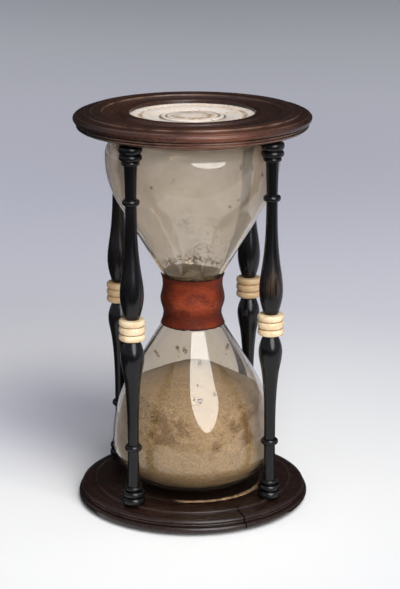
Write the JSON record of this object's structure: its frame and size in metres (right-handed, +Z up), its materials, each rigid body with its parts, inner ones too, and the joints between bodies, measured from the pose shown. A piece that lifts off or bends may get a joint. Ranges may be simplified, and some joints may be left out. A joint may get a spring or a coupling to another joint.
{
  "type": "hourglass",
  "caption": "Turned wooden frame with moulded end plates and bone-collared balusters, holding blown glass bulbs joined at a leather-bound neck, for timing by running sand.",
  "frame": {"origin": "centre of the bottom plate's resting plane", "axes": "+Z up along the glass's axis, the balusters on the diagonals, -Y the front"},
  "size_m": [0.111, 0.111, 0.19],
  "materials": {
    "plate_wood": "satin, worn polish",
    "spindle_wood": "satin, ebonised",
    "bone": "turned and polished bone",
    "bulb_glass": "blown, dusty inside",
    "disc_brass": "dull",
    "seal_wax": "dull wax",
    "binding_thread": "waxed linen",
    "binding_leather": "worn, smooth",
    "sand": "fine grains",
    "pad_leather": "plain"
  },
  "bodies": {
    "root": {"top_plate": "plate_wood", "bottom_plate": "plate_wood", "top_bone_dish": "bone", "bottom_bone_dish": "bone", "upper_bulb": "bulb_glass", "lower_bulb": "bulb_glass", "orifice_disc": "disc_brass", "neck_wax": "seal_wax", "neck_thread": "binding_thread", "neck_leather": "binding_leather", "upper_sand": "sand", "lower_sand": "sand", "top_seat_pad": "pad_leather", "bottom_seat_pad": "pad_leather", "upper_spindle_front_left": "spindle_wood", "bone_collar_front_left": "bone", "lower_spindle_front_left": "spindle_wood", "upper_spindle_front_right": "spindle_wood", "bone_collar_front_right": "bone", "lower_spindle_front_right": "spindle_wood", "upper_spindle_rear_right": "spindle_wood", "bone_collar_rear_right": "bone", "lower_spindle_rear_right": "spindle_wood", "upper_spindle_rear_left": "spindle_wood", "bone_collar_rear_left": "bone", "lower_spindle_rear_left": "spindle_wood"}
  },
  "joints": []
}
